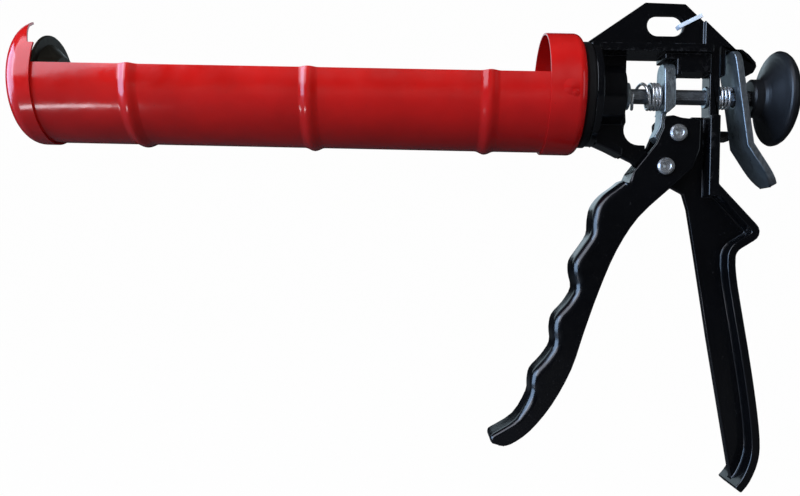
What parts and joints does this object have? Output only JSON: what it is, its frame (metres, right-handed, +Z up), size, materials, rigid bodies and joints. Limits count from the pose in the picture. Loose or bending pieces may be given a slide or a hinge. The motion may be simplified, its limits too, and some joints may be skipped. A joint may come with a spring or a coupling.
{
  "type": "caulking gun",
  "caption": "Skeleton caulking gun with a swivelling half-round cradle, hexagonal push rod, trigger, release plate and a pull knob.",
  "frame": {"origin": "on the push rod's axis, at the inner face of the rear cup's floor, where a cartridge seats", "axes": "+X back along the push rod to the knob, +Z up, -Y the side seen with the nozzle end to the left"},
  "size_m": [0.3434, 0.0552, 0.216],
  "materials": {
    "red_enamel": "gloss",
    "black_enamel": "gloss",
    "black_plastic": "matt",
    "knob_plastic": "satin",
    "zinc_steel": "zinc plated, satin",
    "rod_steel": "drawn, oiled",
    "piston_steel": "dull",
    "spring_steel": "bright",
    "rivet_steel": "bright",
    "nylon": "gloss"
  },
  "bodies": {
    "frame": {"frame": "black_enamel", "swivel_bush": "zinc_steel", "swivel_nut": "zinc_steel", "swivel_washer": "zinc_steel", "friction_ring": "black_plastic", "front_bush": "zinc_steel", "rear_bush": "zinc_steel", "drive_spring": "spring_steel", "release_spring": "spring_steel", "pivot_rivet": "rivet_steel", "tag_tie": "nylon"},
    "cradle": {"cradle": "red_enamel", "front_cap": "red_enamel", "rear_cup": "red_enamel"},
    "rod": {"push_rod": "rod_steel", "piston_plate": "piston_steel", "piston_washer": "zinc_steel", "piston_nut": "zinc_steel", "knob": "knob_plastic", "knob_insert": "zinc_steel"},
    "trigger": {"trigger": "black_enamel", "pusher_rivet": "rivet_steel", "pusher_sleeve": "zinc_steel"},
    "dog": {"drive_dog": "zinc_steel"},
    "release": {"release_plate": "zinc_steel"}
  },
  "joints": [
    {"name": "cradle_swivel", "type": "hinge", "parent": "frame", "child": "cradle", "pos_m": [0, 0, 0], "axis": [1, 0, 0], "continuous": true},
    {"name": "rod_slide", "type": "slide", "parent": "frame", "child": "rod", "axis": [1, 0, 0], "range_m": [0, 0.22]},
    {"name": "trigger_pivot", "type": "hinge", "parent": "frame", "child": "trigger", "pos_m": [0.03865, 0, -0.032], "axis": [0, -1, 0], "range_deg": [0, 25], "stiffness_Nm_per_rad": 0.8, "springref_deg": -11.46},
    {"name": "dog_slide", "type": "slide", "parent": "frame", "child": "dog", "axis": [-1, 0, 0], "range_m": [0, 0.0067], "deforming": ["drive_spring"]},
    {"name": "release_tilt", "type": "hinge", "parent": "frame", "child": "release", "pos_m": [0.067, 0, 0.018], "axis": [0, 1, 0], "range_deg": [0, 6.5], "stiffness_Nm_per_rad": 1.5, "springref_deg": -8.59, "deforming": ["release_spring"]}
  ],
  "couplings": [
    {"joint": "dog_slide", "follows": "trigger_pivot", "m_per_rad": 0.01526}
  ]
}
